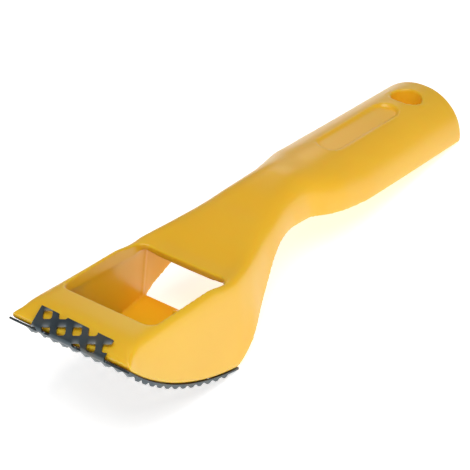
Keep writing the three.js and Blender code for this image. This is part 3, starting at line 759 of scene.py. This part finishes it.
def bend(bm):
    """Wraps the flat sheet round the fold and the sole, in metres; this turns its faces over."""
    for vert in bm.verts:
        s, y, rise = vert.co
        if -fold_length - PLAIN_STRIP < s < 2 * PLAIN_STRIP:
            rise = 0.0
        elif s < 0:
            rise *= TONGUE_TEETH
        point, normal = on_strip(s)
        x, z = point + normal * (rise - SHEET_INSET)
        vert.co = Vector(((x - shift_x) * MM, y * MM, z * MM))
    bmesh.ops.reverse_faces(bm, faces=bm.faces)


def blade_tail():
    """The heel bend and the forked tail, as a sheet with a round-bottomed slot for the screw."""
    slot = SCREW_D / 2 + 2 * SCREW_CLEARANCE
    centre = sole_length + bend_length + TAIL_MID
    end = centre + TAIL_TOP
    side = TAIL_WIDTH / 2
    across_slot = -slot * np.cos(np.linspace(0, math.pi, 9)[1:-1])
    columns = [-side, -side + 1, -slot, *across_slot, slot, side - 1, side]
    low = np.linspace(sole_length - 0.8, sole_length + bend_length, 14)
    bm = bmesh.new()
    grid = []
    for y in columns:
        inside = abs(y) <= slot
        foot = centre - math.sqrt(max(slot**2 - y**2, 0)) if inside else centre
        spots = [*low, *np.linspace(low[-1], foot, 5)[1:]]
        if abs(y) >= slot - 1e-6:
            spots += [*np.linspace(foot, end, 4)[1:]]
        column = []
        for s in spots:
            point, normal = on_strip(s)
            x, z = point - normal * TAIL_INSET
            column.append(bm.verts.new(((x - shift_x) * MM, y * MM, z * MM)))
        grid.append(column)
    for left, right in zip(grid, grid[1:]):
        for i in range(min(len(left), len(right)) - 1):
            bm.faces.new((left[i], left[i + 1], right[i + 1], right[i]))
    bmesh.ops.recalc_face_normals(bm, faces=bm.faces)
    first = next(iter(bm.faces))
    if first.normal.z > 0:
        bmesh.ops.reverse_faces(bm, faces=bm.faces)
    mesh = bpy.data.meshes.new("tail")
    bm.to_mesh(mesh)
    bm.free()
    piece = bpy.data.objects.new("tail", mesh)
    bpy.context.scene.collection.objects.link(piece)
    return thicken(piece, BLADE_THICKNESS - SHEET_INSET)


def thicken(piece, thickness):
    wall = piece.modifiers.new("wall", "SOLIDIFY")
    wall.thickness = thickness * MM
    wall.offset = -1
    wall.use_even_offset = False
    return settle(piece)


def store_height(piece):
    """Keeps each point's distance off the plain sheet, so that the material can paint a highlight on the
    tops of the teeth.
    """
    mesh = piece.data
    values = mesh.attributes.new("tooth_rise", "FLOAT", "POINT")
    values.data.foreach_set("value", [max(v.co.z, 0) / TOOTH_HEIGHT for v in mesh.vertices])


def side_teeth():
    """The cutting teeth along the sheet's right edge: a row of small wedges that lean down and back."""
    edge = BLADE_WIDTH / 2 - SHEAR
    points = []
    faces = []
    for i in range(int((sole_length - 2 * SIDE_TOOTH_PITCH) / SIDE_TOOTH_PITCH)):
        start = SIDE_TOOTH_PITCH * (i + 1)
        corners = [(start + SIDE_TOOTH_PITCH * share, rise) for share, rise in (
            (0, -BLADE_THICKNESS / 2), (0.35, SIDE_TOOTH_HEIGHT), (0.6, SIDE_TOOTH_HEIGHT * 0.9),
            (0.9, -BLADE_THICKNESS / 2))]
        first = len(points)
        for y in (-edge, -edge + BLADE_THICKNESS):
            for s, rise in corners:
                point, normal = on_strip(s)
                x, z = point + normal * (rise - SHEET_INSET)
                points.append((x, y, z))
        sides = [(k, (k + 1) % 4, (k + 1) % 4 + 4, k + 4) for k in range(4)]
        faces += [[first + k for k in face] for face in [(3, 2, 1, 0), (4, 5, 6, 7), *sides]]
    return facing_out(new_piece("side_teeth", placed(points), faces))


def rasp_sheet(material):
    sheet = flat_sheet(material)
    bm = bmesh.new()
    bm.from_mesh(sheet.data)
    cut_sheet(bm)
    bmesh.ops.remove_doubles(bm, verts=bm.verts, dist=0.05)
    loose = [v for v in bm.verts if not v.link_faces]
    bmesh.ops.delete(bm, geom=loose, context="VERTS")
    bm.to_mesh(sheet.data)
    bm.free()
    store_height(sheet)
    finer = sheet.modifiers.new("finer", "SUBSURF")
    finer.levels = finer.render_levels = 1
    finer.boundary_smooth = "PRESERVE_CORNERS"
    settle(sheet)
    bm = bmesh.new()
    bm.from_mesh(sheet.data)
    bend(bm)
    bm.to_mesh(sheet.data)
    bm.free()
    thicken(sheet, BLADE_THICKNESS)
    combine(sheet, blade_tail(), "UNION")
    combine(sheet, side_teeth(), "UNION")
    return smooth(sheet, 38)


# ---- the screw, plate and nut ----

def revolved(name, profile, segments=48):
    """A closed solid turned about x: profile is (x, radius function of the angle) from tip to top."""
    angles = np.linspace(0, 2 * math.pi, segments, endpoint=False)
    points = [(profile[0][0], 0, 0)]
    for x, radius in profile:
        for a in angles:
            r = radius(a)
            points.append((x, r * math.cos(a), r * math.sin(a)))
    points.append((profile[-1][0], 0, 0))
    last = len(points) - 1
    faces = []
    for i in range(segments):
        j = (i + 1) % segments
        faces.append((0, 1 + i, 1 + j))
        faces.append((last, last - segments + j, last - segments + i))
        for r in range(len(profile) - 1):
            a = 1 + r * segments
            faces.append((a + i, a + j, a + j + segments, a + i + segments))
    return facing_out(new_piece(name, points, faces))


def pan_head_screw():
    under = plate_face + PLATE_THICKNESS + FIT
    top = under + SCREW_HEAD_H
    tip = nut_face - NUT_THICKNESS - FIT - 1.2
    radius = SCREW_HEAD_D / 2

    def thread(x):
        fade = min((x - tip) / 0.6, (under - 0.5 - x) / 0.4, 1.0)
        fade = max(fade, 0.0)
        chamfer = max(0.45 - (x - tip), 0.0)

        def at(angle):
            wave = abs(((x / THREAD_PITCH - angle / (2 * math.pi)) % 1) * 2 - 1)
            return SCREW_D / 2 - THREAD_DEPTH * (1 - wave) * fade - chamfer * 0.7
        return at

    def plain(r):
        return lambda angle: r

    profile = [(x, thread(x)) for x in np.arange(tip, under - 0.1, THREAD_PITCH / 6)]
    profile += [(under - 0.05, plain(SCREW_D / 2)), (under, plain(SCREW_D / 2)),
                (under, plain(radius - 0.12)), (under + 0.12, plain(radius)),
                (under + SCREW_HEAD_H * 0.4, plain(radius))]
    for a in np.linspace(0, math.pi / 2, 9)[1:-1]:
        rise = SCREW_HEAD_H * (0.4 + 0.6 * math.sin(a))
        profile.append((under + rise, plain(radius * (0.42 + 0.58 * math.cos(a)))))
    profile.append((top, plain(radius * 0.42)))
    screw = revolved("pan_head_screw", profile)
    depth = SCREW_HEAD_H * 0.55
    reach = radius * 0.62
    for width, half in ((SCREW_SLOT, reach), (2 * reach, SCREW_SLOT / 2)):
        recess = block("recess", (top - depth, top + 1), width, (-half, half))
        combine(screw, recess, "DIFFERENCE")
    in_fixing(screw)
    return smooth(screw, 30)


def pressed_plate():
    half = PLATE_LENGTH / 2
    plate = block("pressed_plate", (plate_face, plate_face + PLATE_THICKNESS), PLATE_WIDTH, (-half, half))
    combine(plate, bore("plate_hole", SCREW_D / 2 + SCREW_CLEARANCE, (plate_face - 2, plate_face + 4)),
            "DIFFERENCE")
    in_fixing(plate)
    return smooth(soften(plate, 0.28), 40)


def square_nut():
    front = nut_face - FIT
    half = NUT_SIZE / 2
    nut = block("square_nut", (front - NUT_THICKNESS, front), NUT_SIZE, (-half, half))
    combine(nut, bore("nut_bore", SCREW_D / 2 + SCREW_CLEARANCE, (front - 4, front + 2)), "DIFFERENCE")
    in_fixing(nut)
    return smooth(soften(nut, 0.2), 40)


# ---- materials ----

def new_material(name):
    material = bpy.data.materials.new(name)
    material.use_nodes = True
    nodes, links = material.node_tree.nodes, material.node_tree.links
    shader = nodes["Principled BSDF"]
    place = nodes.new("ShaderNodeTexCoord").outputs["Object"]
    return material, nodes, links, shader, place


def noise(nodes, links, place, scale, detail=3.0, roughness=0.5):
    node = nodes.new("ShaderNodeTexNoise")
    node.inputs["Scale"].default_value = scale
    node.inputs["Detail"].default_value = detail
    node.inputs["Roughness"].default_value = roughness
    links.new(place, node.inputs["Vector"])
    return node.outputs["Fac"]


def ramp(nodes, links, source, stops):
    node = nodes.new("ShaderNodeValToRGB")
    elements = node.color_ramp.elements
    while len(elements) < len(stops):
        elements.new(0.5)
    for element, (position, colour) in zip(elements, stops):
        element.position = position
        element.color = (*colour, 1)
    links.new(source, node.inputs["Fac"])
    return node.outputs["Color"]


def spread(nodes, links, source, low, high):
    """Maps a 0 to 1 value to a range."""
    node = nodes.new("ShaderNodeMapRange")
    node.inputs["To Min"].default_value = low
    node.inputs["To Max"].default_value = high
    links.new(source, node.inputs["Value"])
    return node.outputs["Result"]


def bump(nodes, links, shader, source, strength, distance):
    node = nodes.new("ShaderNodeBump")
    node.inputs["Strength"].default_value = strength
    node.inputs["Distance"].default_value = distance
    links.new(source, node.inputs["Height"])
    links.new(node.outputs["Normal"], shader.inputs["Normal"])


def mix_colours(nodes, links, factor, first, second):
    node = nodes.new("ShaderNodeMix")
    node.data_type = "RGBA"
    links.new(factor, node.inputs["Factor"])
    for socket, source in ((node.inputs["A"], first), (node.inputs["B"], second)):
        if isinstance(source, tuple):
            socket.default_value = (*source, 1)
        else:
            links.new(source, socket)
    return node.outputs["Result"]


def moulded_yellow():
    """Glossy translucent yellow plastic with faint flow marks."""
    material, nodes, links, shader, place = new_material("moulded_yellow")
    flow = noise(nodes, links, place, 22, 2.0)
    colour = ramp(nodes, links, flow, [(0.3, (0.88, 0.50, 0.016)), (0.7, (0.92, 0.54, 0.022))])
    links.new(colour, shader.inputs["Base Color"])
    gloss = noise(nodes, links, place, 40, 1.0)
    links.new(spread(nodes, links, gloss, 0.26, 0.32), shader.inputs["Roughness"])
    shader.inputs["Subsurface Weight"].default_value = 0.35
    shader.inputs["Subsurface Radius"].default_value = (1.0, 0.45, 0.06)
    shader.inputs["Subsurface Scale"].default_value = 0.004
    shader.inputs["IOR"].default_value = 1.5
    return material


def blued_steel():
    """Dark blue-grey temper colour with straw patches, and a painted highlight that lightens the colour
    towards the tops of the teeth.
    """
    material, nodes, links, shader, place = new_material("blued_steel")
    temper = ramp(nodes, links, noise(nodes, links, place, 95, 4.0, 0.6), [
        (0.3, (0.045, 0.062, 0.078)), (0.55, (0.085, 0.11, 0.125)), (0.75, (0.13, 0.12, 0.10))])
    # painted highlight: the colour is mixed towards a pale blue-grey by each point's height up its tooth
    rise = nodes.new("ShaderNodeAttribute")
    rise.attribute_name = "tooth_rise"
    painted_tooth_highlight = nodes.new("ShaderNodeMath")
    painted_tooth_highlight.operation = "POWER"
    painted_tooth_highlight.use_clamp = True
    links.new(rise.outputs["Fac"], painted_tooth_highlight.inputs[0])
    painted_tooth_highlight.inputs[1].default_value = 1.6
    colour = mix_colours(nodes, links, painted_tooth_highlight.outputs[0], temper, (0.42, 0.45, 0.46))
    links.new(colour, shader.inputs["Base Color"])
    shader.inputs["Metallic"].default_value = 0.85
    grain = noise(nodes, links, place, 420, 3.0)
    links.new(spread(nodes, links, grain, 0.3, 0.5), shader.inputs["Roughness"])
    bump(nodes, links, shader, noise(nodes, links, place, 1500, 2.0), 0.08, 0.0001)
    return material


def zinc_plate(name, tint):
    """Bright zinc plate with a fine crystalline mottle."""
    material, nodes, links, shader, place = new_material(name)
    mottle = noise(nodes, links, place, 700, 3.0)
    dark = tuple(c * 0.8 for c in tint)
    links.new(ramp(nodes, links, mottle, [(0.35, dark), (0.65, tint)]), shader.inputs["Base Color"])
    shader.inputs["Metallic"].default_value = 1.0
    links.new(spread(nodes, links, mottle, 0.22, 0.4), shader.inputs["Roughness"])
    bump(nodes, links, shader, mottle, 0.06, 0.0001)
    return material


def finish(piece, material, body, node):
    piece.data.materials.clear()
    piece.data.materials.append(material)
    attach(piece, body)
    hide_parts(node)


# ---- the studio ----

WORLD_LIGHT = 0.3
FLOOR_GLOW = 0.6
CAMERA_SPOT = (-0.4779, -0.3195, 0.4652)
CAMERA_TURN = -55.393
CAMERA_DOWN = 38.171
CAMERA_LENS = 183.8


def studio_floor():
    floor = new_piece("floor", [(-3, -3, 0), (3, -3, 0), (3, 3, 0), (-3, 3, 0)], [(0, 1, 2, 3)])
    floor.data.transform(Matrix.Translation((0, 0, -0.0003)))
    material = bpy.data.materials.new("pale_floor")
    material.use_nodes = True
    shader = material.node_tree.nodes["Principled BSDF"]
    shader.inputs["Base Color"].default_value = (0.93, 0.93, 0.93, 1)
    shader.inputs["Roughness"].default_value = 0.9
    shader.inputs["Emission Color"].default_value = (1, 1, 1, 1)
    shader.inputs["Emission Strength"].default_value = FLOOR_GLOW
    floor.data.materials.append(material)


def soft_light(name, spot, size, power):
    light = bpy.data.lights.new(name, "AREA")
    light.shape = "DISK"
    light.size = size
    light.energy = power
    lamp = bpy.data.objects.new(name, light)
    lamp.location = spot
    lamp.rotation_euler = (-Vector(spot)).to_track_quat("-Z", "Y").to_euler()
    bpy.context.scene.collection.objects.link(lamp)


def studio_light():
    world = bpy.data.worlds.new("studio")
    bpy.context.scene.world = world
    world.use_nodes = True
    world.node_tree.nodes["Background"].inputs["Color"].default_value = (1, 1, 1, 1)
    world.node_tree.nodes["Background"].inputs["Strength"].default_value = WORLD_LIGHT
    soft_light("overhead", (-0.3, -0.25, 1.0), 0.7, 5.2)
    soft_light("front", (-0.5, -0.8, 0.45), 0.6, 1.9)
    soft_light("window", (0.72, 0.40, 0.33), 0.22, 0.2)


def camera():
    lens = bpy.data.cameras.new("camera")
    lens.lens = CAMERA_LENS
    view = bpy.data.objects.new("camera", lens)
    view.location = CAMERA_SPOT
    view.rotation_euler = (math.radians(90 - CAMERA_DOWN), 0, math.radians(CAMERA_TURN))
    bpy.context.scene.collection.objects.link(view)
    bpy.context.scene.camera = view
    bpy.context.scene.view_settings.view_transform = "Standard"


steel = blued_steel()
finish(body_moulding(), moulded_yellow(), "body", "body")
finish(rasp_sheet(steel), steel, "blade", "rasp_blade")
finish(pressed_plate(), zinc_plate("plate_zinc", (0.74, 0.75, 0.76)), "plate", "clamp_plate")
finish(pan_head_screw(), zinc_plate("screw_zinc", (0.78, 0.78, 0.77)), "screw", "clamp_screw")
finish(square_nut(), zinc_plate("nut_zinc", (0.70, 0.71, 0.72)), "body", "clamp_nut")
studio_floor()
studio_light()
camera()
